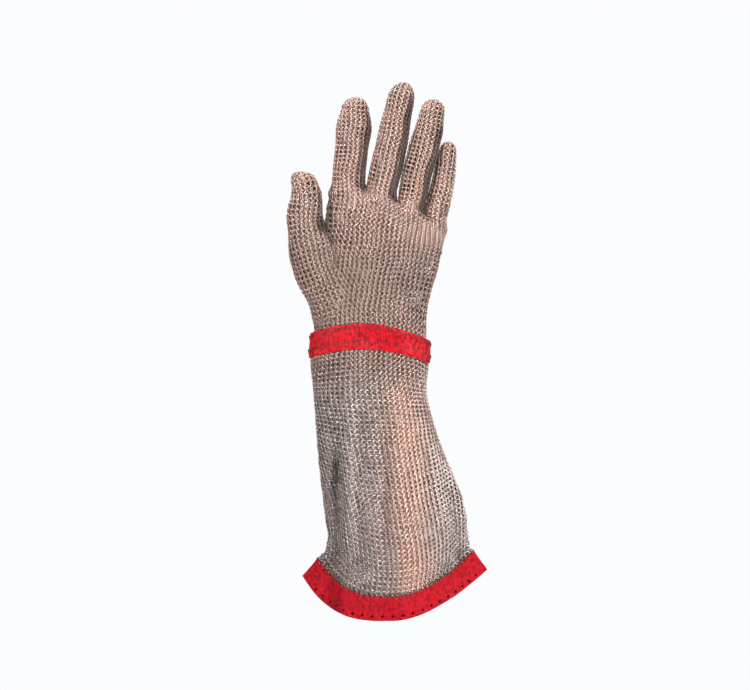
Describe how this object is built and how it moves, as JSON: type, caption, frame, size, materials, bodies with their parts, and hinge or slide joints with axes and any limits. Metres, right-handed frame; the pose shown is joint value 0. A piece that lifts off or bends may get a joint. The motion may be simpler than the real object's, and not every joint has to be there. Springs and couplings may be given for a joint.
{
  "type": "ring mesh safety glove with long cuff",
  "caption": "Long cuff safety glove of linked steel rings for a left hand, with a ribbon strap at the wrist and a ribbon hem, worn upright and open at the cuff.",
  "frame": {"origin": "middle of the cuff's mouth, where the forearm goes in", "axes": "+Z to the fingertips, -Y to the palm side, +X to the little finger side"},
  "size_m": [0.1566, 0.0726, 0.4225],
  "materials": {
    "ring_mesh": "fine linked rings, warm grey with bright crowns",
    "red_ribbon": "matt ribbon with fine cross ribs",
    "snap_steel": "polished"
  },
  "bodies": {
    "root": {"palm_mesh": "ring_mesh", "index_finger_mesh": "ring_mesh", "middle_finger_mesh": "ring_mesh", "ring_finger_mesh": "ring_mesh", "little_finger_mesh": "ring_mesh", "thumb_mesh": "ring_mesh", "cuff_mesh": "ring_mesh", "wrist_strap": "red_ribbon", "strap_snap": "snap_steel", "hem_band": "red_ribbon"}
  },
  "joints": []
}
